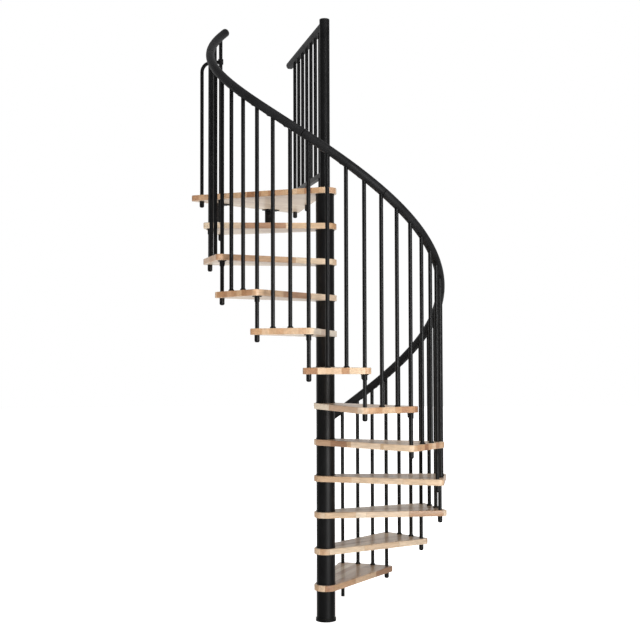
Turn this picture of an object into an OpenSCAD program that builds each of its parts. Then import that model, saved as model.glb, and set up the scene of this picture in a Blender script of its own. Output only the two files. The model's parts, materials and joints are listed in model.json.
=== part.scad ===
// Spiral staircase: a central column, eleven wedge treads and a landing, a ring of rods under
// a helical handrail, and a short fence that closes the far side of the landing.
// Millimetres. The origin is the centre of the column's base, on the lower floor. +Z is up and
// +Y is the way out, square to the landing's outer edge. The stair climbs clockwise seen from above.

/* [Stair] */
// Height from the lower floor to the top of the landing
floor_height = 2520; // [2100:12:3036]
// Turn from the first nosing to the landing's nosing, in degrees
turn = 280; // [230:1:300]
// Angle between the landing's nosing line and its fence, in degrees
landing_turn = 56.5; // [45:0.5:70]
// Radius of the ring of rods, from the column's axis
ring_r = 673; // [560:1:820]

/* [Column] */
// Diameter of the spindle, which also makes the post above the landing
spindle_d = 60; // [48:1:74]
// Wall of the spindle
spindle_wall = 4; // [2:0.5:6]
// Diameter of the spacer tubes between the treads
spacer_d = 108; // [90:0.5:130]
// Wall of the spacer tubes
spacer_wall = 3; // [2:0.5:5]
// Lip of the centring rings outside the spacers
centring_lip = 2; // [1:0.5:4]
// Thickness of a centring ring outside its spacer
centring_t = 6; // [3:0.5:10]
// Depth of a centring ring's spigot inside its spacer
spigot_depth = 8; // [4:1:16]
// Wall of the base flange's rim, outside the first spacer
rim_wall = 4.7; // [4:0.1:12]
// Thickness of the base flange's plate
flange_t = 8; // [6:1:14]
// Height of the rim that holds the first spacer
rim_height = 20; // [14:1:40]
// Diameter of an anchor bolt hole
anchor_hole_d = 9; // [6:0.5:10]
// Height of the post's top above the landing
post_height = 1008; // [900:1:1200]
// Thickness of the post's cap
cap_t = 8; // [4:1:20]

/* [Treads] */
// Thickness of the treads and of the landing
tread_t = 34; // [26:1:45]
// Width of the wood outside the spacers at a tread's round inner end
eye_rim = 14; // [8:1:30]
// Overhang of a tread beyond the line between its two corner rods
tread_overhang = 37; // [32:1:60]
// Overhang of a tread beside its corner rods
tread_side = 33; // [28:1:50]
// Radius of a tread's outer corners
corner_r = 26; // [8:1:28]
// Distance from the ring of rods to the landing's outer edge
landing_overhang = 85; // [60:1:140]
// Radius of the small arc where the landing's fence side meets the column
heel_r = 24; // [16:1:34]

/* [Railing] */
// Diameter of the rods
rod_d = 22; // [16:0.5:27]
// Height of the handrail's centreline above the nosing at the first rod
rail_height = 984; // [880:1:1100]
// How much lower the handrail's centreline runs above the landing, at the last rod
rail_drop = 12; // [0:1:30]
// Rise of the handrail's middle above an even helix between its ends
rail_bow = 41; // [0:1:60]
// Diameter of the handrail
rail_d = 50; // [38:1:54]
// Depth of the flat on the handrail's underside
rail_cut = 3; // [1:0.5:6]
// Arc of handrail below the first rod, in degrees
rail_tail = 7; // [3:0.5:12]
// Arc of handrail beyond the last rod, in degrees
rail_lead = 5.5; // [3:0.5:12]
// Arc from the handrail's top end to its first joint, in degrees
first_joint = 30; // [20:1:40]
// Thickness of the discs in the handrail's joints
joint_t = 3; // [2:0.5:6]
// Length of a handrail cap's rounded end
rail_cap = 12; // [6:1:20]
// Width of the collar at the foot of a short rod
foot_lip = 5; // [3:0.5:10]
// Height of the collar at the foot of a short rod
foot_height = 9; // [6:1:16]

/* [Brackets] */
// Wall of the collars and cups round the rods
socket_wall = 2.7; // [2:0.1:6]
// Height of the collar under a nosing
collar_height = 32; // [24:1:60]
// Thickness of the plate under a nosing
plate_t = 4; // [3:0.5:8]
// Length of the plate under a nosing
plate_length = 52; // [44:1:70]
// Rim of the plate beside the collar
plate_rim = 2; // [1:0.5:6]
// Reach of the collar's boss from the rod's axis
boss_reach = 20; // [16:1:30]
// Width of the collar's boss
boss_w = 14; // [8:1:20]
// Depth of a cup below the wood
cup_height = 40; // [30:1:70]
// Bottom wall of a cup
cup_floor = 7; // [4:0.5:10]

/* [Landing fence] */
// Number of fence bars
bar_count = 7; // [5:1:9]
// Distance from the ring of rods to the outermost bar
bar_overhang = 127; // [100:1:160]
// Distance from the column's axis to the innermost bar
bar_start = 116; // [90:1:150]
// Diameter of the bars
bar_d = 22; // [12:0.5:22]
// Height of the top rail's centreline above the landing
fence_height = 977; // [860:1:1050]
// Length of the top rail beyond the outermost bar
fence_lead = 150; // [20:1:200]
// Height of the lower rail's centreline above the landing
low_rail_height = 92; // [60:1:140]
// Width and depth of the lower rail
low_rail = 28; // [28:1:40]
// Distance from the ring of rods to the closing rod
closing_overhang = 126; // [100:1:160]
// Height of the closing rod's arm above the landing
closing_height = 816; // [700:1:900]
// Centreline radius of the closing rod's bend
closing_bend = 52; // [40:1:70]

/* [Slab brackets] */
// Distance between the centres of the two slab brackets
slab_spacing = 405; // [360:1:520]
// Shift of both slab brackets toward the landing's nosing
slab_shift = 12; // [0:1:30]
// Width of a bracket's flange under the landing
slab_flange_w = 96; // [80:1:120]
// Depth of a bracket's flange under the landing
slab_flange_depth = 60; // [40:1:80]
// Width of a bracket's leg
slab_leg_w = 50; // [40:1:70]
// Height of a bracket's leg
slab_leg_h = 110; // [90:1:160]
// Thickness of a slab bracket
slab_t = 6; // [4:1:10]
// Distance between the two bolt holes in a leg
slab_hole_pitch = 50; // [40:1:80]
// Diameter of a bolt hole in a leg
slab_hole_d = 11; // [8:0.5:14]

/* [Hidden] */
$fn = 64;
tread_count = 11;
tread_names = [for (k = [1:tread_count]) str("tread_", k < 10 ? "0" : "", k)];
rail_pieces = 8;
rail_names = [for (k = [1:rail_pieces]) str("handrail_", k)];

steel = [0.10, 0.10, 0.11];
plastic = [0.14, 0.14, 0.15];
wood = [0.86, 0.73, 0.60];

fit = 0.3;                                   // gap between a rod and what it passes through
seat = 0.2;                                  // gap between pieces that meet at a slant
rise = floor_height / (tread_count + 1);
step_turn = turn / tread_count;
rods_per_tread = 3;
bar_step = 3;                                // every third bar runs down through the landing
last_rod = rods_per_tread * tread_count;
start_angle = 90 + landing_turn / 2 + turn - 360;
landing_line = start_angle - turn;           // angle of the landing's nosing line
fence_line = landing_line - landing_turn;    // angle of the fence
tread_half = ring_r * sin(step_turn / 2) + tread_side;
tread_reach = ring_r * cos(step_turn / 2) + tread_overhang;
eye_r = spacer_d / 2 + eye_rim;
landing_reach = ring_r + landing_overhang;
closing_reach = ring_r + closing_overhang;
bar_reach = ring_r + bar_overhang;
bar_pitch = (bar_reach - bar_start) / (bar_count - 1);
long_bars = [0:bar_step:bar_count - 1];
rail_flat = rail_d / 2 - rail_cut;            // from the handrail's centreline down to its flat
flange_d = spacer_d + 2 * (fit + rim_wall);
anchor_pcd = spindle_d / 2 + spacer_d / 2 - spacer_wall;   // midway between spindle and spacer
piece_turn = (rail_tail + turn + rail_lead - first_joint) / (rail_pieces - 1);
landing_top = floor_height;
spindle_top = landing_top + post_height - cap_t;
landing_half = (landing_reach - corner_r) * tan(landing_turn / 2) + tread_side / cos(landing_turn / 2)
    - corner_r / cos(landing_turn / 2);

function tread_top(k) = k * rise;
function rod_angle(i) = start_angle - i * step_turn / rods_per_tread;
function ring_point(angle, r, z) = [r * cos(angle), r * sin(angle), z];

// The handrail at an angle: the share of the turn climbed, the centreline's height, and its slope.
function climbed(angle) = (start_angle - angle) / turn;
function rail_z(angle) =
    let (c = climbed(angle))
    rise + rail_height + (floor_height - rise - rail_drop) * c + 4 * rail_bow * c * (1 - c);
function rail_slope(angle) =
    atan((floor_height - rise - rail_drop + 4 * rail_bow * (1 - 2 * climbed(angle)))
        / (ring_r * turn * PI / 180));

// ---- Column ----

module base_flange() {
    color(steel)
    difference() {
        rotate_extrude()
            polygon([[0, 0], [flange_d / 2, 0], [flange_d / 2, rim_height - 4],
                     [flange_d / 2 - 3, rim_height], [spacer_d / 2 + fit, rim_height],
                     [spacer_d / 2 + fit, flange_t], [0, flange_t]]);
        for (a = [45:90:315])
            rotate([0, 0, a]) translate([anchor_pcd / 2, 0, -1])
                cylinder(h = flange_t + 2, d = anchor_hole_d);
    }
}

module spindle_tube() {
    color(steel)
    difference() {
        translate([0, 0, flange_t]) cylinder(h = spindle_top - flange_t, d = spindle_d);
        translate([0, 0, flange_t - 1])
            cylinder(h = spindle_top - flange_t + 2, d = spindle_d - 2 * spindle_wall);
    }
}

module spindle_cap() {
    bevel = 2;
    color(plastic)
    translate([0, 0, spindle_top])
    rotate_extrude()
        polygon([[0, -16], [spindle_d / 2 - spindle_wall - fit, -16],
                 [spindle_d / 2 - spindle_wall - fit, 0], [spindle_d / 2, 0],
                 [spindle_d / 2, cap_t - bevel], [spindle_d / 2 - bevel, cap_t], [0, cap_t]]);
}

// The first spacer stands in the base flange; the others stand on the ring above a tread.
module spacer_tubes() {
    color(steel)
    for (k = [0:tread_count]) {
        low = k == 0 ? flange_t : tread_top(k) + centring_t;
        high = tread_top(k + 1) - tread_t - centring_t;
        translate([0, 0, low])
        difference() {
            cylinder(h = high - low, d = spacer_d);
            translate([0, 0, -1]) cylinder(h = high - low + 2, d = spacer_d - 2 * spacer_wall);
        }
    }
}

// A flanged ring that centres a spacer on the spindle, with its spigot pointing up.
module centring_ring() {
    spigot_r = spacer_d / 2 - spacer_wall - fit;
    bore_r = spindle_d / 2 + fit;
    lip_r = spacer_d / 2 + centring_lip;
    rotate_extrude()
        polygon([[bore_r, 0], [lip_r, 0], [lip_r, centring_t],
                 [spigot_r, centring_t], [spigot_r, centring_t + spigot_depth],
                 [bore_r, centring_t + spigot_depth]]);
}

module centring_rings() {
    color(steel) {
        for (k = [1:tread_count]) translate([0, 0, tread_top(k)]) centring_ring();
        for (k = [1:tread_count + 1])
            translate([0, 0, tread_top(k) - tread_t]) mirror([0, 0, 1]) centring_ring();
    }
}

// ---- Treads and landing ----

module rod_hole(r, d = rod_d) {
    translate([r, 0, -1]) cylinder(h = tread_t + 2, d = d + 2 * fit);
}

module spindle_hole() {
    translate([0, 0, -1]) cylinder(h = tread_t + 2, d = spindle_d + 2 * fit);
}

// A tread about +X, with its nosing on the +Y side.
module tread_outline() {
    hull() {
        circle(r = eye_r);
        for (side = [-1, 1])
            translate([tread_reach - corner_r, side * (tread_half - corner_r)]) circle(r = corner_r);
    }
}

module tread(k) {
    color(wood)
    translate([0, 0, tread_top(k) - tread_t])
    rotate([0, 0, rod_angle(rods_per_tread * (k - 0.5))])
    difference() {
        linear_extrude(height = tread_t) tread_outline();
        spindle_hole();
        for (side = [-1, 1]) rotate([0, 0, side * step_turn / 2]) rod_hole(ring_r);
    }
}

// The landing about +Y. Its nosing side is tangent to the eye; its fence side runs to the axis.
module landing_outline() {
    circle(r = eye_r);
    hull() {
        rotate(landing_line + 90) translate([eye_r - heel_r, 0]) circle(r = heel_r);
        for (side = [-1, 1])
            translate([side * landing_half, landing_reach - corner_r]) circle(r = corner_r);
    }
}

module landing() {
    color(wood)
    translate([0, 0, landing_top - tread_t])
    difference() {
        linear_extrude(height = tread_t) landing_outline();
        spindle_hole();
        rotate([0, 0, landing_line]) {
            rod_hole(ring_r);
            rod_hole(closing_reach);
        }
        rotate([0, 0, fence_line])
            for (i = long_bars) rod_hole(bar_x(i), bar_d);
    }
}

// ---- Handrail ----

// Profile of the handrail: a circle with a flat underside. X is outward and Y is up.
profile_sides = 20;
profile = [for (i = [0:profile_sides - 1])
    let (a = i * 360 / profile_sides)
    [rail_d / 2 * cos(a), max(-rail_flat, rail_d / 2 * sin(a))]];

// A point of the profile carried to an angle of the helix, square to the helix's run.
function rail_point(angle, p) =
    let (out = [cos(angle), sin(angle), 0],
         slope = rail_slope(angle),
         lean = [cos(angle + 90) * sin(slope), sin(angle + 90) * sin(slope), cos(slope)])
    ring_point(angle, ring_r, rail_z(angle)) + out * p[0] + lean * p[1];

module rail_sweep(from_angle, to_angle) {
    rings = ceil((from_angle - to_angle) / 3);
    n = profile_sides;
    points = [for (j = [0:rings])
        let (angle = from_angle + (to_angle - from_angle) * j / rings)
        for (p = profile) rail_point(angle, p)];
    sides = [for (j = [0:rings - 1], i = [0:n - 1])
        [j * n + i, j * n + (i + 1) % n, (j + 1) * n + (i + 1) % n, (j + 1) * n + i]];
    polyhedron(points, concat(sides, [[for (i = [n - 1:-1:0]) i]],
        [[for (i = [0:n - 1]) rings * n + i]]), convexity = 4);
}

// Angle of joint j: 0 is the lower end and rail_pieces is the upper end.
function joint_angle(j) =
    j == rail_pieces ? landing_line - rail_lead
                     : start_angle + rail_tail - j * piece_turn;

// Half the arc that joint j takes out of the handrail, none at the two ends.
function joint_turn(j) =
    j == 0 || j == rail_pieces ? 0
        : (joint_t / 2 + seat) * cos(rail_slope(joint_angle(j))) / ring_r * 180 / PI;

module handrail(k) {
    color(plastic)
    rail_sweep(joint_angle(k - 1) - joint_turn(k - 1), joint_angle(k) + joint_turn(k));
}

// Puts +Z along the handrail's run uphill at an angle, with +X outward.
module on_rail(angle) {
    translate(ring_point(angle, ring_r, rail_z(angle)))
        rotate([0, 0, angle]) rotate([90 - rail_slope(angle), 0, 0]) children();
}

module handrail_joints() {
    color(steel)
    for (j = [1:rail_pieces - 1])
        on_rail(joint_angle(j)) translate([0, 0, -joint_t / 2])
            cylinder(h = joint_t, r = rail_flat - 0.5);
}

// A rounded end for a rail, on +Z: a flat middle with a round shoulder.
module rail_end() {
    middle = rail_flat - rail_cap;
    rotate_extrude() intersection() {
        union() {
            square([middle, rail_cap]);
            translate([middle, 0]) circle(r = rail_cap);
        }
        square([rail_d, rail_d]);
    }
}

module handrail_caps() {
    color(plastic) {
        on_rail(joint_angle(rail_pieces)) translate([0, 0, seat]) rail_end();
        on_rail(joint_angle(0)) mirror([0, 0, 1]) translate([0, 0, seat]) rail_end();
    }
}

// ---- Rods ----

// A rod from a height up to the handrail, cut to the handrail's slope.
module rail_rod(i, low) {
    angle = rod_angle(i);
    slope = rail_slope(angle);
    top = rail_z(angle) - rail_flat / cos(slope) - seat;
    translate(ring_point(angle, ring_r, 0))
    difference() {
        translate([0, 0, low]) cylinder(h = top - low + rod_d, d = rod_d);
        translate([0, 0, top]) rotate([0, 0, angle]) rotate([-slope, 0, 0])
            translate([-rod_d, -2 * rod_d, 0]) cube([2 * rod_d, 4 * rod_d, 4 * rod_d]);
    }
}

// The first rod stands on the floor; the others end in a cup under the tread below.
function long_rod_low(k) = k == 0 ? 0 : tread_top(k) - tread_t - cup_height + cup_floor;

module long_balusters() {
    color(steel)
    for (k = [0:tread_count]) rail_rod(rods_per_tread * k, long_rod_low(k));
}

module short_balusters() {
    color(steel)
    for (k = [1:tread_count], j = [1:rods_per_tread - 1])
        rail_rod(rods_per_tread * (k - 1) + j, tread_top(k));
}

module foot_collar(d) {
    rotate_extrude()
        polygon([[d / 2 + fit, 0], [d / 2 + foot_lip, 0], [d / 2 + foot_lip, foot_height / 2],
                 [d / 2 + foot_lip / 2, foot_height], [d / 2 + fit, foot_height]]);
}

module baluster_feet() {
    color(steel)
    for (k = [1:tread_count], j = [1:rods_per_tread - 1])
        translate(ring_point(rod_angle(rods_per_tread * (k - 1) + j), ring_r, tread_top(k)))
            foot_collar(rod_d);
}

// ---- Brackets under the wood ----

// A plate with round ends along Y and a collar round the rod, with its screw boss on +X.
module nosing_bracket() {
    collar_d = rod_d + 2 * (fit + socket_wall);
    end_r = collar_d / 2 + plate_rim;
    end_y = plate_length / 2 - end_r;
    difference() {
        union() {
            translate([0, 0, -plate_t]) linear_extrude(height = plate_t) {
                translate([-end_r, -end_y]) square([2 * end_r, 2 * end_y]);
                for (side = [-1, 1]) translate([0, side * end_y]) circle(r = end_r);
            }
            translate([0, 0, -collar_height]) cylinder(h = collar_height, d = collar_d);
            rotate([90, 0, 0]) translate([0, 0, -boss_w / 2]) linear_extrude(height = boss_w)
                polygon([[0, -plate_t / 2], [boss_reach, -plate_t / 2],
                         [boss_reach - 2, -collar_height + 6], [0, -collar_height + 2]]);
        }
        translate([0, 0, -collar_height - 1])
            cylinder(h = collar_height + 2, d = rod_d + 2 * fit);
    }
}

module nosing_brackets() {
    color(steel)
    for (k = [1:tread_count + 1])
        let (angle = rod_angle(rods_per_tread * (k - 1)))
        translate(ring_point(angle, ring_r, tread_top(k) - tread_t))
            rotate([0, 0, angle - 150]) nosing_bracket();
}

// Half profile of a cup with its mouth at z = 0: a straight wall with a round edge at the bottom,
// whose radius stays within the cup's wall and floor.
module cup_profile(outer_r) {
    round_r = min(outer_r - 3, socket_wall + cup_floor);
    translate([0, -cup_height + round_r]) square([outer_r, cup_height - round_r]);
    translate([0, -cup_height]) square([outer_r - round_r, round_r]);
    intersection() {
        translate([outer_r - round_r, -cup_height + round_r]) circle(r = round_r);
        translate([outer_r - round_r, -cup_height]) square([round_r, round_r]);
    }
}

// A cup that closes the lower end of a rod of diameter d.
module cup(d) {
    difference() {
        rotate_extrude() cup_profile(d / 2 + fit + socket_wall);
        translate([0, 0, -cup_height + cup_floor]) cylinder(h = cup_height, d = d + 2 * fit);
    }
}

module rear_cups() {
    color(steel)
    for (k = [1:tread_count])
        translate(ring_point(rod_angle(rods_per_tread * k), ring_r, tread_top(k) - tread_t))
            cup(rod_d);
}

module landing_cups() {
    under = landing_top - tread_t;
    color(steel) {
        translate(ring_point(landing_line, closing_reach, under)) cup(rod_d);
        for (i = long_bars) translate(ring_point(fence_line, bar_x(i), under)) cup(bar_d);
    }
}

// ---- Landing fence ----

// Bars are counted from the outermost.
function bar_x(i) = bar_reach - i * bar_pitch;

module rail_profile() {
    intersection() {
        circle(d = rail_d);
        translate([-rail_d, -rail_flat]) square([2 * rail_d, rail_d + rail_flat]);
    }
}

module fence_rail() {
    color(plastic)
    rotate([0, 0, fence_line])
    difference() {
        translate([0, 0, landing_top + fence_height]) rotate([90, 0, 90])
            linear_extrude(height = bar_reach + fence_lead) rail_profile();
        cylinder(h = 2 * floor_height, d = spindle_d + 2 * fit);
    }
}

module fence_rail_cap() {
    color(plastic)
    rotate([0, 0, fence_line])
        translate([bar_reach + fence_lead + seat, 0, landing_top + fence_height])
            rotate([0, 90, 0]) rail_end();
}

module fence_low_rail() {
    color(steel)
    rotate([0, 0, fence_line])
    difference() {
        translate([0, -low_rail / 2, landing_top + low_rail_height - low_rail / 2])
            cube([bar_reach + low_rail / 2, low_rail, low_rail]);
        cylinder(h = 2 * floor_height, d = spindle_d + 2 * fit);
        for (i = long_bars) translate([bar_x(i), 0, landing_top])
            cylinder(h = 2 * low_rail_height, d = bar_d + 2 * fit);
    }
}

module fence_bars() {
    top = landing_top + fence_height - rail_flat - seat;
    color(steel)
    rotate([0, 0, fence_line])
    for (i = [0:bar_count - 1]) {
        long = i % bar_step == 0;
        low = long ? landing_top - tread_t - cup_height + cup_floor
                   : landing_top + low_rail_height + low_rail / 2;
        translate([bar_x(i), 0, low]) cylinder(h = top - low, d = bar_d);
    }
}

// A rod through the landing, bent at the top into an arm that clamps the last long rod.
module closing_rod() {
    low = landing_top - tread_t - cup_height + cup_floor;
    arm = landing_top + closing_height;
    clamp_d = rod_d + 10;
    color(steel)
    rotate([0, 0, landing_line]) {
        difference() {
            union() {
                translate([closing_reach, 0, low])
                    cylinder(h = arm - closing_bend - low, d = rod_d);
                translate([closing_reach - closing_bend, 0, arm - closing_bend])
                    rotate([90, 0, 0]) rotate_extrude(angle = 90)
                        translate([closing_bend, 0]) circle(d = rod_d);
                translate([ring_r, 0, arm]) rotate([0, 90, 0])
                    cylinder(h = closing_reach - closing_bend - ring_r, d = rod_d);
                translate([ring_r, 0, arm - rod_d * 0.7]) cylinder(h = rod_d * 1.4, d = clamp_d);
            }
            translate([ring_r, 0, arm - rod_d]) cylinder(h = 2 * rod_d, d = rod_d + 2 * fit);
        }
    }
}

// ---- Slab brackets ----

module slab_bracket() {
    difference() {
        union() {
            translate([-slab_flange_w / 2, -slab_flange_depth, -slab_t])
                cube([slab_flange_w, slab_flange_depth, slab_t]);
            translate([-slab_leg_w / 2, -slab_t, -slab_leg_h])
                cube([slab_leg_w, slab_t, slab_leg_h]);
        }
        for (z = [-1, 1])
            translate([0, 1, -slab_leg_h / 2 - 8 + z * slab_hole_pitch / 2]) rotate([90, 0, 0])
                cylinder(h = slab_t + 2, d = slab_hole_d);
    }
}

module slab_brackets() {
    color(steel)
    for (side = [-1, 1])
        translate([side * slab_spacing / 2 - slab_shift, landing_reach, landing_top - tread_t])
            slab_bracket();
}

base_flange();
spindle_tube();
spindle_cap();
spacer_tubes();
centring_rings();
for (k = [1:tread_count]) tread(k);
landing();
for (k = [1:rail_pieces]) handrail(k);
handrail_joints();
handrail_caps();
long_balusters();
short_balusters();
baluster_feet();
nosing_brackets();
rear_cups();
landing_cups();
fence_rail();
fence_rail_cap();
fence_low_rail();
fence_bars();
closing_rod();
slab_brackets();
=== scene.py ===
"""Looks of the spiral staircase: eased hardwood treads, powder-coated steel and a smooth handrail.

Everything is in metres and degrees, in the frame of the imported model: the column stands on the
origin, +Z is up and +Y is square to the landing's outer edge.
"""
import json
import math

import bmesh
import bpy
from mathutils import Matrix, Vector


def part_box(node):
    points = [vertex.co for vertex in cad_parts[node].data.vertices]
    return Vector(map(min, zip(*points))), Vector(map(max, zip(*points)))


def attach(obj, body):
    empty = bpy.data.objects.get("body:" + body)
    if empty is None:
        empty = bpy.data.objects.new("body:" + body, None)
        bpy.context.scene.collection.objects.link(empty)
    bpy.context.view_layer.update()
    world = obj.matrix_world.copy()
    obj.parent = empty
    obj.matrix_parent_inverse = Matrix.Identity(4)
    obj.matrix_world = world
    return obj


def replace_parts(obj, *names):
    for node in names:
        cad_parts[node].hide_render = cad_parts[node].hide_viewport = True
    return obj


# Camera: where it stands about the column, and where it looks.
CAMERA_BEARING = -132.49
CAMERA_DISTANCE = 6.5286
CAMERA_HEIGHT = 1.509
VIEW_BEARING = 47.78
VIEW_RISE = 2.076
VIEW_ROLL = 0.150
LENS = 62.63
SENSOR_WIDTH = 36

# Handrail: heights, ends and joints as in the CAD model, with a finer profile.
RAIL_HEIGHT = 0.984
RAIL_DROP = 0.012
RAIL_BOW = 0.041
RAIL_TAIL = 7.0
RAIL_LEAD = 5.5
RAIL_SECTIONS = 8
FIRST_JOINT = 30.0
JOINT_GAP = 0.0034
RAIL_R = 0.025
RAIL_FLAT = 0.022
RAIL_SIDES = 56
RAIL_STEP = 1.2
RAIL_END_EASE = 0.0008
GROOVE_INNER = 0.0055
GROOVE_OUTER = 0.0085
GROOVE_DEPTH = 0.0008

# Saddles under the handrail: a plate on both sides of each rod, measured from the rod's axis.
SADDLE_GAP = 0.0002
SADDLE_T = 0.002
SADDLE_HALF_W = 0.008
SADDLE_TIP_HALF_W = 0.004
SADDLE_SHOULDER = 0.026
SADDLE_TIP = 0.030
SADDLE_ROD_GAP = 0.0015
SADDLE_SCREW_AT = 0.021

# Screws: radius and height of the head, and how far they stand from what they belong to.
SADDLE_SCREW = (0.0038, 0.0022)
NOSING_SCREW = (0.0036, 0.0026)
LANDING_SCREW = (0.005, 0.0035)
NOSING_PLATE_T = 0.004
NOSING_PLATE_TURN = 60
NOSING_SCREW_FROM_ROD = 0.0205
SLAB_FLANGE_T = 0.006
SLAB_SCREW_FROM_END = 0.014
SLAB_SCREW_FROM_FACE = 0.042

# Post cap: the rounding and thickness of its rim, how far its plug is inside it, and the dish on
# top as (share of the radius, depth).
CAP_EASE = 0.003
CAP_RIM_T = 0.008
CAP_PLUG_INSET = 0.0043
CAP_DISH = ((0.6, 0.0004), (0.3, 0.0008), (0, 0.001))

# Eased edges: on the wood, and on the steel nodes that show an edge.
WOOD_EASE = 0.0028
STEEL_EASE = {"slab_brackets": 0.0012, "fence_low_rail": 0.0015, "base_flange": 0.001,
              "nosing_brackets": 0.0006}
ROD_HOLE_ZONE = 0.020
SPINDLE_HOLE_ZONE = 0.036

# Wood: strips glued side by side along a tread, each made of finger-jointed lengths.
STRIP_W = 0.042
LENGTH = 0.36
FINGER_PITCH = 0.0075
FINGER_DEPTH = 0.005

# Scales of the grain along and across the strips.
FIBRE_SCALE = (2.6, 90)
BAND_SCALE = (1.7, 26)
PORE_SCALE = (130, 1100)

# Colours of the wood: the boards from pale to dark, the warmer boards, a painted sheen on the
# tops, a painted reflection of the pale floor on the undersides, and the factor on the end grain.
BOARD_TONES = [(0.0, (0.68, 0.565, 0.42)), (0.20, (0.60, 0.465, 0.325)),
               (0.42, (0.535, 0.385, 0.245)), (0.62, (0.48, 0.315, 0.18)),
               (0.80, (0.395, 0.23, 0.12)), (1.0, (0.26, 0.13, 0.065))]
WARM_BOARD = (0.56, 0.38, 0.28, 1)
# Painted sheen: a paler, greyer colour mixed onto the upward faces, the tops.
TOP_SHEEN_TINT = (0.55, 0.45, 0.34, 1)
# Painted reflection of the pale floor: a paler, greyer colour mixed onto the downward faces, the
# undersides.
UNDERSIDE_REFLECTION_TINT = (0.53, 0.47, 0.385, 1)
END_GRAIN_TINT = (0.86, 0.76, 0.67, 1)
WHITE = (1, 1, 1, 1)

# Brightness of the light from all round, and of the white ground behind the stair in reflections.
AMBIENT = 0.10
BACKGROUND = 0.80

# Floor: its size, how far it lies under the stair, and its glow near the stair and away from it,
# as (distance, strength). The weaker glow near the stair is a painted shadow round its foot.
FLOOR_R = 30
FLOOR_DROP = 0.001
SHADOWED_NEAR_GLOW = (0.4, 0.75)
FAR_GLOW = (3.0, 1.15)

# The point that the lights look at, near the middle of the stair.
LIGHT_AIM = Vector((0, 0, 1.4))

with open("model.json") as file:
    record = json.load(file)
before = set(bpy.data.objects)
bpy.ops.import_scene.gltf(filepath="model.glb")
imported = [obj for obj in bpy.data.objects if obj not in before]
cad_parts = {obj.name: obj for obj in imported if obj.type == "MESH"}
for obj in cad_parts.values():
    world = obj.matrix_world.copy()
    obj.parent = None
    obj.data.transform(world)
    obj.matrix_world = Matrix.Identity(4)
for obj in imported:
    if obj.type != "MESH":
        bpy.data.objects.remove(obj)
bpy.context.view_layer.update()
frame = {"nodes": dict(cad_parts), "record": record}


# ---- Mesh helpers ----

def new_mesh(name, builder, material):
    """Turns a bmesh into a mesh with one material."""
    builder.normal_update()
    mesh = bpy.data.meshes.new(name)
    builder.to_mesh(mesh)
    builder.free()
    mesh.materials.append(material)
    return mesh


def new_object(name, data):
    made = bpy.data.objects.new(name, data)
    bpy.context.scene.collection.objects.link(made)
    return made


def new_piece(name, builder, material, matrix=Matrix.Identity(4)):
    """Makes a piece from a bmesh, places it, and lets it ride on the stair."""
    piece = new_object(name, new_mesh(name, builder, material))
    piece.matrix_world = matrix
    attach(piece, "root")
    return piece


def shade(builder, sharp_angle=35):
    """Smooth faces, with a crease at every edge that turns more than sharp_angle degrees."""
    for face in builder.faces:
        face.smooth = True
    for edge in builder.edges:
        edge.smooth = edge.calc_face_angle(math.pi) < math.radians(sharp_angle)


def cad_builder(node):
    """A bmesh of a CAD node with its corners welded and its flat faces whole."""
    builder = bmesh.new()
    builder.from_mesh(frame["nodes"][node].data)
    bmesh.ops.remove_doubles(builder, verts=builder.verts, dist=1e-5)
    bmesh.ops.dissolve_limit(builder, angle_limit=0.01, verts=builder.verts, edges=builder.edges)
    return builder


def edges_over(builder, angle):
    """The edges whose two faces turn by more than an angle."""
    return [edge for edge in builder.edges if edge.calc_face_angle(0) > math.radians(angle)]


def ease(builder, width, keep_sharp=lambda point: False):
    """Rounds the sharp edges, apart from those where keep_sharp says so."""
    edges = [edge for edge in edges_over(builder, 40)
             if not keep_sharp((edge.verts[0].co + edge.verts[1].co) / 2)]
    bmesh.ops.bevel(builder, geom=edges, offset=width, segments=3, profile=0.5,
                    affect="EDGES", clamp_overlap=True)


def solids(node):
    """Lowest and highest corner of each separate solid of a CAD node."""
    builder = cad_builder(node)
    left = set(builder.verts)
    boxes = []
    while left:
        found = [left.pop()]
        for vert in found:
            for edge in vert.link_edges:
                other = edge.other_vert(vert)
                if other in left:
                    left.remove(other)
                    found.append(other)
        boxes.append((Vector(min(v.co[i] for v in found) for i in range(3)),
                      Vector(max(v.co[i] for v in found) for i in range(3))))
    builder.free()
    return boxes


def bridge(builder, rings):
    """Faces between each ring of vertices and the next. A ring of one vertex is a point."""
    for low, high in zip(rings, rings[1:]):
        sides = max(len(low), len(high))
        for i in range(sides):
            j = (i + 1) % sides
            corners = (low[i % len(low)], low[j % len(low)],
                       high[j % len(high)], high[i % len(high)])
            builder.faces.new(list(dict.fromkeys(corners)))


def loft(builder, rings):
    """A closed solid through the rings."""
    bridge(builder, rings)
    builder.faces.new(rings[0][::-1])
    builder.faces.new(rings[-1])


def lathe(builder, matrix, profile, sides=24, hexagon=()):
    """Turns (radius, height) points about the matrix's Z. Rings in hexagon are six-sided."""
    rings = []
    for index, (radius, height) in enumerate(profile):
        if radius == 0:
            rings.append([builder.verts.new(matrix @ Vector((0, 0, height)))])
            continue
        ring = []
        for i in range(sides):
            angle = 2 * math.pi * i / sides
            reach = radius
            if index in hexagon:
                reach /= math.cos((angle + math.pi / 6) % (math.pi / 3) - math.pi / 6)
            ring.append(builder.verts.new(
                matrix @ Vector((reach * math.cos(angle), reach * math.sin(angle), height))))
        rings.append(ring)
    bridge(builder, rings)


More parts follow.
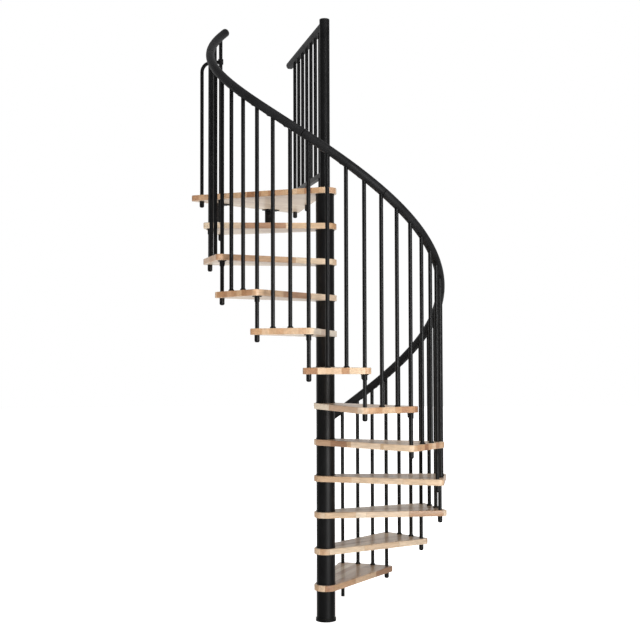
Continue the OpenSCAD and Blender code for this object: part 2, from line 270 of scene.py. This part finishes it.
def screw_head(builder, place, out, size):
    """A pan head with a hexagon socket at place, standing out along the direction out."""
    radius, height = size
    turned = out.to_track_quat("Z", "Y").to_matrix().to_4x4()
    profile = [(0, 0), (radius, 0), (radius, height * 0.45), (radius * 0.86, height * 0.85),
               (radius * 0.62, height), (radius * 0.40, height), (radius * 0.38, height * 0.35),
               (0, height * 0.35)]
    lathe(builder, Matrix.Translation(place) @ turned, profile, hexagon=(5, 6))


# ---- Materials ----

def new_material(name):
    material = bpy.data.materials.new(name)
    material.use_nodes = True
    return material, material.node_tree, material.node_tree.nodes["Principled BSDF"]


def feed(tree, socket, value):
    """Sets an input to a value, or links it to a socket."""
    if isinstance(value, bpy.types.NodeSocket):
        tree.links.new(value, socket)
    else:
        socket.default_value = value


def add(tree, kind, inputs=None, **settings):
    """Adds a node with its settings, and feeds its inputs."""
    made = tree.nodes.new(kind)
    for key, value in settings.items():
        setattr(made, key, value)
    for key, value in (inputs or {}).items():
        feed(tree, made.inputs[key], value)
    return made


def calc(tree, operation, *values):
    return add(tree, "ShaderNodeMath", dict(enumerate(values)), operation=operation).outputs[0]


def vector(tree, x, y, z):
    return add(tree, "ShaderNodeCombineXYZ", {0: x, 1: y, 2: z}).outputs[0]


def noise(tree, place, scale, detail=3.0, roughness=0.5, distortion=0.0):
    inputs = {"Vector": place, "Scale": scale, "Detail": detail, "Roughness": roughness,
              "Distortion": distortion}
    return add(tree, "ShaderNodeTexNoise", inputs).outputs["Fac"]


def spread(tree, value, low, high, to_low, to_high):
    """Maps a value's range onto another, clamped and smooth."""
    inputs = {"Value": value, "From Min": low, "From Max": high,
              "To Min": to_low, "To Max": to_high}
    return add(tree, "ShaderNodeMapRange", inputs, interpolation_type="SMOOTHSTEP").outputs[0]


def mix(tree, factor, first, second, blend="MIX"):
    """Mixes two colours; a node for colours takes its inputs at 0, 6 and 7."""
    made = add(tree, "ShaderNodeMix", data_type="RGBA", blend_type=blend)
    for index, value in ((0, factor), (6, first), (7, second)):
        feed(tree, made.inputs[index], value)
    return made.outputs[2]


def ramp(tree, value, stops):
    made = add(tree, "ShaderNodeValToRGB", {0: value})
    while len(made.color_ramp.elements) < len(stops):
        made.color_ramp.elements.new(0.5)
    for element, (place, colour) in zip(made.color_ramp.elements, stops):
        element.position = place
        element.color = (*colour, 1)
    return made.outputs[0]


def bump(tree, shader, height, strength, distance):
    inputs = {"Height": height, "Strength": strength, "Distance": distance}
    made = add(tree, "ShaderNodeBump", inputs)
    tree.links.new(made.outputs[0], shader.inputs["Normal"])


def hardwood():
    """Finger-jointed hardwood with its strips along the piece's own X, under a satin lacquer."""
    material, tree, shader = new_material("hardwood")
    coordinates = add(tree, "ShaderNodeTexCoord")
    place = add(tree, "ShaderNodeSeparateXYZ", {0: coordinates.outputs["Object"]})
    facing = add(tree, "ShaderNodeSeparateXYZ", {0: coordinates.outputs["Normal"]})
    x, y, z = place.outputs
    along_face, _, up_face = facing.outputs

    # Every tread lies at a level of its own, which seeds its boards.
    level = add(tree, "ShaderNodeSeparateXYZ",
                {0: add(tree, "ShaderNodeObjectInfo").outputs["Location"]}).outputs[2]
    seed = calc(tree, "ROUND", calc(tree, "MULTIPLY", level, 100))

    # Strips side by side, and boards along each strip with zigzag ends.
    strips = calc(tree, "ADD", calc(tree, "DIVIDE", y, STRIP_W), 0.5)
    row = calc(tree, "FLOOR", strips)
    row_seed = vector(tree, row, seed, 3.0)
    row_start = add(tree, "ShaderNodeTexWhiteNoise", {0: row_seed}).outputs[0]
    fingers = calc(tree, "PINGPONG", calc(tree, "ADD", y, z), FINGER_PITCH / 2)
    fingers = calc(tree, "MULTIPLY", fingers, FINGER_DEPTH / (FINGER_PITCH / 2))
    run = calc(tree, "DIVIDE", calc(tree, "ADD", x, fingers), LENGTH)
    run = calc(tree, "ADD", run, row_start)
    board_seed = vector(tree, row, calc(tree, "FLOOR", run), seed)
    board = add(tree, "ShaderNodeTexWhiteNoise", {0: board_seed})
    tone = board.outputs[0]
    warmth = add(tree, "ShaderNodeSeparateColor", {0: board.outputs[1]}).outputs[1]

    # Long fibres and cathedral bands, both shifted from board to board, and short open pores.
    shift = calc(tree, "MULTIPLY", tone, 37.0)

    def grain(scale, start, *settings):
        along, across = scale
        stretched = vector(tree, calc(tree, "ADD", calc(tree, "MULTIPLY", x, along), start),
                           calc(tree, "MULTIPLY", y, across), calc(tree, "MULTIPLY", z, across))
        return noise(tree, stretched, 1.0, *settings)

    fibres = grain(FIBRE_SCALE, shift, 6.0, 0.62, 0.25)
    bands = calc(tree, "MULTIPLY", grain(BAND_SCALE, shift, 2.0, 0.4, 0.6), 30.0)
    bands = calc(tree, "SINE", bands)
    pores = spread(tree, grain(PORE_SCALE, 0.0, 2.0, 0.5), 0.60, 0.72, 0.0, 1.0)

    # Colour: board by board, greyer on the top from a painted sheen, and paler and greyer on the
    # underside from a painted reflection of the pale floor.
    colour = ramp(tree, tone, BOARD_TONES)
    colour = mix(tree, calc(tree, "MULTIPLY", warmth, 0.30), colour, WARM_BOARD)
    # Painted sheen on the tops.
    colour = mix(tree, spread(tree, up_face, 0.6, 0.9, 0.0, 0.25), colour, TOP_SHEEN_TINT)
    # Painted reflection of the pale floor on the undersides.
    colour = mix(tree, spread(tree, up_face, -0.6, -0.9, 0.0, 0.50), colour, UNDERSIDE_REFLECTION_TINT)

    # Shade: fibres, bands and pores, and thin dark lines between strips and between boards.
    light = calc(tree, "ADD", spread(tree, fibres, 0.3, 0.7, 0.86, 1.10),
                 calc(tree, "MULTIPLY", bands, 0.035))
    light = calc(tree, "SUBTRACT", light, calc(tree, "MULTIPLY", pores, 0.16))
    seam = calc(tree, "ABSOLUTE", calc(tree, "SUBTRACT", calc(tree, "FRACT", strips), 0.5))
    seam = spread(tree, seam, 0.488, 0.497, 0.0, 0.16)
    cut = calc(tree, "ABSOLUTE", calc(tree, "SUBTRACT", calc(tree, "FRACT", run), 0.5))
    cut = spread(tree, cut, 0.4975, 0.4995, 0.0, 0.20)
    light = calc(tree, "SUBTRACT", light, calc(tree, "MAXIMUM", seam, cut))
    end_grain = spread(tree, calc(tree, "ABSOLUTE", along_face), 0.55, 0.85, 0.0, 1.0)
    ends = mix(tree, end_grain, WHITE, END_GRAIN_TINT)
    shaded = mix(tree, 1.0, colour, vector(tree, light, light, light), "MULTIPLY")
    tree.links.new(mix(tree, 1.0, shaded, ends, "MULTIPLY"), shader.inputs["Base Color"])

    rough = calc(tree, "ADD", spread(tree, fibres, 0.3, 0.7, 0.40, 0.50),
                 calc(tree, "MULTIPLY", pores, 0.12))
    tree.links.new(rough, shader.inputs["Roughness"])
    shader.inputs["Coat Weight"].default_value = 0.35
    shader.inputs["Coat Roughness"].default_value = 0.20
    height = calc(tree, "SUBTRACT", calc(tree, "MULTIPLY", fibres, 0.5), pores)
    bump(tree, shader, height, strength=0.25, distance=0.0003)
    return material


def coated(name, colour, rough, specular, depth=0.0, grain=1500.0):
    """A black finish with slow and quick changes of tone and gloss. Depth is the grain's height."""
    material, tree, shader = new_material(name)
    place = add(tree, "ShaderNodeTexCoord").outputs["Object"]
    slow = noise(tree, place, 9.0, 4.0)
    fine = noise(tree, place, grain, 2.0, 0.6)
    low, high = (tuple(c * share for c in colour) for share in (0.75, 1.3))
    tree.links.new(ramp(tree, slow, [(0.35, low), (0.65, high)]), shader.inputs["Base Color"])
    gloss = calc(tree, "ADD", spread(tree, slow, 0.3, 0.7, *rough),
                 calc(tree, "MULTIPLY", fine, 0.06))
    tree.links.new(gloss, shader.inputs["Roughness"])
    shader.inputs["Specular IOR Level"].default_value = specular
    if depth:
        bump(tree, shader, fine, strength=0.3, distance=depth)
    return material


# ---- Where things are ----

def flat(angle, radius=1.0, z=0.0):
    """The point at a bearing and a distance from the column."""
    a = math.radians(angle)
    return Vector((radius * math.cos(a), radius * math.sin(a), z))


def bearing(point):
    return math.degrees(math.atan2(point.y, point.x))


def apart(first, second):
    """Distance in plan."""
    return math.hypot(first.x - second.x, first.y - second.y)


landing_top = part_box("landing")[1].z
tread_names = [f"tread_{k:02d}" for k in range(1, 12)]
rise = landing_top / (len(tread_names) + 1)

rods = sorted(solids("long_balusters") + solids("short_balusters"), key=lambda box: box[1].z)
rod_axes = [(low + high) / 2 for low, high in rods]
landing_axes = [(low + high) / 2 for low, high in solids("closing_rod") + solids("fence_bars")]
rod_r = (rods[0][1].x - rods[0][0].x) / 2
ring_r = sum(Vector((p.x, p.y)).length for p in rod_axes) / len(rod_axes)
start_angle = bearing(rod_axes[0])
turn = (start_angle - bearing(rod_axes[1])) * (len(rods) - 1)
rail_climb = landing_top - rise - RAIL_DROP


def rail_centre(angle):
    climbed = (start_angle - angle) / turn
    z = rise + RAIL_HEIGHT + rail_climb * climbed + 4 * RAIL_BOW * climbed * (1 - climbed)
    return flat(angle, ring_r, z)


def rail_axes(angle):
    """Outward, square to the run, and uphill along the run."""
    climbed = (start_angle - angle) / turn
    climb = rail_climb + 4 * RAIL_BOW * (1 - 2 * climbed)
    slope = math.atan(climb / (ring_r * math.radians(turn)))
    out, back = flat(angle), flat(angle + 90)
    square = back * math.sin(slope) + Vector((0, 0, math.cos(slope)))
    along = Vector((0, 0, math.sin(slope))) - back * math.cos(slope)
    return out, square, along


# ---- Wood ----

def in_hole(point):
    """True near the spindle's and the rods' holes, whose edges the fittings cover."""
    if Vector((point.x, point.y)).length < SPINDLE_HOLE_ZONE:
        return True
    return any(apart(point, axis) < ROD_HOLE_ZONE for axis in rod_axes + landing_axes)


def wooden(node, name, angle, material):
    """A tread or the landing with eased edges, in a frame of its own whose X runs at the angle."""
    builder = cad_builder(node)
    ease(builder, WOOD_EASE, in_hole)
    bottom = min(v.co.z for v in builder.verts)
    matrix = Matrix.Translation((0, 0, bottom)) @ Matrix.Rotation(math.radians(angle), 4, "Z")
    bmesh.ops.transform(builder, matrix=matrix.inverted(), verts=builder.verts)
    shade(builder)
    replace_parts(new_piece(name, builder, material, matrix), node)


def make_wood(material):
    for k, node in enumerate(tread_names):
        middle = start_angle - turn * (k + 0.5) / len(tread_names)
        wooden(node, f"eased_{node}", middle, material)
    wooden("landing", "eased_landing", 0, material)


# ---- Handrail ----

def rail_profile():
    """Round, with a flat underside and two fine grooves beside the strip of steel inside it."""
    points = []
    for i in range(RAIL_SIDES):
        angle = 2 * math.pi * i / RAIL_SIDES
        across, up = RAIL_R * math.cos(angle), max(-RAIL_FLAT, RAIL_R * math.sin(angle))
        if up == -RAIL_FLAT and GROOVE_INNER < abs(across) < GROOVE_OUTER:
            up += GROOVE_DEPTH
        points.append((across, up))
    return points


def rail_section(name, node, low_angle, high_angle, material):
    profile = rail_profile()
    steps = max(2, round((low_angle - high_angle) / RAIL_STEP))
    builder = bmesh.new()
    rings = []
    for j in range(steps + 1):
        angle = low_angle + (high_angle - low_angle) * j / steps
        centre, (out, square, _) = rail_centre(angle), rail_axes(angle)
        rings.append([builder.verts.new(centre + out * across + square * up)
                      for across, up in profile])
    loft(builder, rings)
    bmesh.ops.recalc_face_normals(builder, faces=builder.faces)
    bmesh.ops.bevel(builder, geom=edges_over(builder, 60), offset=RAIL_END_EASE, segments=2,
                    profile=0.5, affect="EDGES")
    shade(builder, 50)
    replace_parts(new_piece(name, builder, material), node)


def make_handrail(material):
    """The sections, with half a joint's gap at each end that meets another section."""
    low_end = start_angle + RAIL_TAIL
    high_end = start_angle - turn - RAIL_LEAD
    arc = (low_end - high_end - FIRST_JOINT) / (RAIL_SECTIONS - 1)
    joints = [low_end - k * arc for k in range(RAIL_SECTIONS)] + [high_end]
    for k in range(RAIL_SECTIONS):
        gaps = []
        for angle, inner in ((joints[k], k > 0), (joints[k + 1], k < RAIL_SECTIONS - 1)):
            run = rail_axes(angle)[2]
            level_share = Vector((run.x, run.y)).length
            gaps.append(math.degrees(JOINT_GAP / 2 * level_share / ring_r) if inner else 0)
        rail_section(f"rail_section_{k + 1}", f"handrail_{k + 1}", joints[k] - gaps[0],
                     joints[k + 1] + gaps[1], material)


def make_saddles(material):
    """Under the handrail at each rod: a thin plate along the rail with a screw on both sides."""
    outline = ((-SADDLE_HALF_W, rod_r + SADDLE_ROD_GAP), (SADDLE_HALF_W, rod_r + SADDLE_ROD_GAP),
               (SADDLE_HALF_W, SADDLE_SHOULDER), (SADDLE_TIP_HALF_W, SADDLE_TIP),
               (-SADDLE_TIP_HALF_W, SADDLE_TIP), (-SADDLE_HALF_W, SADDLE_SHOULDER))
    builder = bmesh.new()
    for axis in rod_axes:
        angle = bearing(axis)
        angle += 360 * round((start_angle - turn / 2 - angle) / 360)
        centre, (out, square, along) = rail_centre(angle), rail_axes(angle)
        base = centre - square * (RAIL_FLAT + SADDLE_GAP)
        turned = Matrix((out, along, -square)).transposed().to_4x4()
        plate = Matrix.Translation(base) @ turned
        for side in (-1, 1):
            loft(builder, [[builder.verts.new(plate @ Vector((x, side * y, z)))
                            for x, y in outline] for z in (0, SADDLE_T)])
            place = plate @ Vector((0, side * SADDLE_SCREW_AT, SADDLE_T))
            screw_head(builder, place, -square, SADDLE_SCREW)
    bmesh.ops.recalc_face_normals(builder, faces=builder.faces)
    shade(builder)
    new_piece("rail_saddles", builder, material)


# ---- Steel ----

def make_screws(material):
    """Screws in the plates under the nosings and the landing, and the bolts to the upper floor."""
    builder = bmesh.new()
    down = Vector((0, 0, -1))
    for low, high in solids("nosing_brackets"):
        middle = (low + high) / 2
        axis = min(rod_axes, key=lambda rod: apart(rod, middle))
        angle = bearing(axis) - NOSING_PLATE_TURN
        for side in (-1, 1):
            place = (Vector((axis.x, axis.y, high.z - NOSING_PLATE_T))
                     + flat(angle, side * NOSING_SCREW_FROM_ROD))
            screw_head(builder, place, down, NOSING_SCREW)
    for low, high in solids("slab_brackets"):
        for x in (low.x + SLAB_SCREW_FROM_END, high.x - SLAB_SCREW_FROM_END):
            place = Vector((x, high.y - SLAB_SCREW_FROM_FACE, high.z - SLAB_FLANGE_T))
            screw_head(builder, place, down, LANDING_SCREW)
    for mount in frame["record"]["mounts"]:
        if mount["name"].startswith("slab_bolts"):
            half_spacing = mount["dims"]["spacing_y_mm"] / 2000
            for side in (-1, 1):
                slab_bolt(builder, Vector(mount["pos_m"]) + Vector((0, 0, side * half_spacing)))
    shade(builder)
    new_piece("screws", builder, material)


def slab_bolt(builder, spot):
    """A bolt in a slab bracket's leg at the mount's spot: washer and head on the stair's side."""
    inward = Matrix.Translation(spot) @ Matrix.Rotation(math.radians(90), 4, "X")
    shank_r, washer_r, head_r, crown_r = 0.005, 0.011, 0.0085, 0.0075
    start, leg_face, washer_face, head_shoulder, head_top = 0.0004, 0.0062, 0.0078, 0.0128, 0.0135
    profile = [(0, start), (shank_r, start), (shank_r, leg_face), (washer_r, leg_face),
               (washer_r, washer_face), (head_r, washer_face), (head_r, head_shoulder),
               (crown_r, head_top), (0, head_top)]
    lathe(builder, inward, profile, hexagon=(5, 6, 7))


def make_eased_steel(material):
    for node, width in STEEL_EASE.items():
        builder = cad_builder(node)
        ease(builder, width)
        shade(builder)
        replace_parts(new_piece(f"eased_{node}", builder, material), node)


def make_post_cap(material):
    """A moulded cap with a soft edge, a shallow dish on top and a plug down the post."""
    low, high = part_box("spindle_cap")
    radius = (high.x - low.x) / 2
    plug_r, seat_z, ease_z = radius - CAP_PLUG_INSET, high.z - CAP_RIM_T, high.z - CAP_EASE
    profile = [(0, low.z), (plug_r, low.z), (plug_r, seat_z), (radius, seat_z), (radius, ease_z)]
    for angle in range(15, 91, 15):
        a = math.radians(angle)
        profile.append((radius - CAP_EASE + CAP_EASE * math.cos(a),
                        ease_z + CAP_EASE * math.sin(a)))
    profile += [(radius * share, high.z - depth) for share, depth in CAP_DISH]
    builder = bmesh.new()
    lathe(builder, Matrix.Identity(4), profile, sides=64)
    shade(builder, 50)
    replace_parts(new_piece("post_cap", builder, material), "spindle_cap")


def finish_cad_nodes(finishes, joint_shade):
    """Gives each CAD node the finish of its slot. The discs in the handrail's joints get a darker,
    duller finish than the rail: a painted shade in the joints' gaps, added to the real shade of
    their recess.
    """
    slots = {part["node"]: part["material_slot"] for part in frame["record"]["subparts"]}
    for node, cad_object in frame["nodes"].items():
        finish = joint_shade if node == "handrail_joints" else finishes[slots[node]]
        cad_object.data.materials.clear()
        cad_object.data.materials.append(finish)


# ---- Stage ----

def make_camera():
    a, e = math.radians(VIEW_BEARING), math.radians(VIEW_RISE)
    forward = Vector((math.cos(a) * math.cos(e), math.sin(a) * math.cos(e), math.sin(e)))
    right = forward.cross(Vector((0, 0, 1))).normalized()
    up = right.cross(forward)
    r = math.radians(VIEW_ROLL)
    right, up = (right * math.cos(r) - up * math.sin(r),
                 right * math.sin(r) + up * math.cos(r))
    camera = new_object("camera", bpy.data.cameras.new("camera"))
    camera.data.lens = LENS
    camera.data.sensor_width = SENSOR_WIDTH
    place = flat(CAMERA_BEARING, CAMERA_DISTANCE, CAMERA_HEIGHT)
    axes = Matrix((right, up, -forward)).transposed().to_4x4()
    camera.matrix_world = Matrix.Translation(place) @ axes
    bpy.context.scene.camera = camera


def area_light(name, angle, distance, height, size, power, mirrored):
    """A soft light that looks at the middle of the stair; mirrored says if gloss shows it."""
    light = bpy.data.lights.new(name, "AREA")
    light.shape = "RECTANGLE"
    light.size, light.size_y = size
    light.energy = power
    holder = new_object(name, light)
    holder.location = flat(angle, distance, height)
    aim = LIGHT_AIM - holder.location
    holder.rotation_euler = aim.to_track_quat("-Z", "Y").to_euler()
    holder.visible_glossy = mirrored


def make_floor():
    """A pale floor that brightens to white away from the stair, where it meets the ground. Its
    dimmer glow near the stair paints a shadow round the stair's foot.
    """
    material, tree, shader = new_material("floor")
    place = add(tree, "ShaderNodeTexCoord").outputs["Object"]
    away = add(tree, "ShaderNodeVectorMath", {0: place}, operation="LENGTH").outputs["Value"]
    tone = noise(tree, place, 0.4, 2.0)
    tree.links.new(ramp(tree, tone, [(0.3, (0.83, 0.83, 0.83)), (0.7, (0.85, 0.85, 0.85))]),
                   shader.inputs["Base Color"])
    shader.inputs["Roughness"].default_value = 0.9
    shader.inputs["Specular IOR Level"].default_value = 0.0
    shader.inputs["Emission Color"].default_value = WHITE
    (near, near_strength), (far, far_strength) = SHADOWED_NEAR_GLOW, FAR_GLOW
    # Painted shadow: the glow is weaker near the stair.
    tree.links.new(spread(tree, away, near, far, near_strength, far_strength),
                   shader.inputs["Emission Strength"])
    builder = bmesh.new()
    lathe(builder, Matrix.Translation((0, 0, -FLOOR_DROP)), [(0, 0), (FLOOR_R, 0)], sides=96)
    floor = new_object("floor", new_mesh("floor", builder, material))
    floor.visible_glossy = False


def make_light():
    """A white ground behind the stair, grey light from all round, and three large soft lights."""
    world = bpy.data.worlds.new("world")
    world.use_nodes = True
    tree = world.node_tree
    background = tree.nodes["Background"]
    background.inputs["Color"].default_value = WHITE
    direction = add(tree, "ShaderNodeTexCoord").outputs["Generated"]
    behind = add(tree, "ShaderNodeVectorMath", {0: direction, 1: flat(VIEW_BEARING)},
                 operation="DOT_PRODUCT").outputs["Value"]
    glow = spread(tree, behind, 0.35, 0.90, AMBIENT, BACKGROUND)
    seen = add(tree, "ShaderNodeLightPath").outputs["Is Camera Ray"]
    strength = calc(tree, "MULTIPLY_ADD", seen, calc(tree, "SUBTRACT", 1, glow), glow)
    tree.links.new(strength, background.inputs["Strength"])
    bpy.context.scene.world = world
    area_light("key", angle=-102, distance=5.6, height=1.5, size=(1.7, 3.0), power=130,
               mirrored=True)
    area_light("fill", angle=-180, distance=6.5, height=2.6, size=(3.5, 3.5), power=110,
               mirrored=False)
    area_light("high", angle=-115, distance=3.2, height=6.0, size=(3.0, 3.0), power=250,
               mirrored=False)
    bpy.context.scene.view_settings.view_transform = "Standard"


# ---- The stair ----

wood = hardwood()
powder = coated("powder_coat", (0.0028, 0.0028, 0.003), rough=(0.40, 0.45), specular=0.50,
                grain=1200.0)
plastic = coated("handrail_plastic", (0.010, 0.010, 0.0105), rough=(0.46, 0.56), specular=0.25,
                 depth=0.00008)
screw_steel = coated("screw_steel", (0.008, 0.008, 0.009), rough=(0.25, 0.35), specular=0.5,
                     depth=0.00005)
# Painted shade: the joint discs are darker and duller than the rail, so the joints read as dark
# gaps.
joint_shade_finish = coated("joint_shade_finish", (0.0015, 0.0015, 0.0015), rough=(0.70, 0.80),
                      specular=0.1, depth=0.00005)

finish_cad_nodes({"hardwood": wood, "powder_coat": powder, "handrail_plastic": plastic},
                 joint_shade_finish)
make_wood(wood)
make_handrail(plastic)
make_saddles(powder)
make_screws(screw_steel)
make_eased_steel(powder)
make_post_cap(plastic)
make_camera()
make_floor()
make_light()
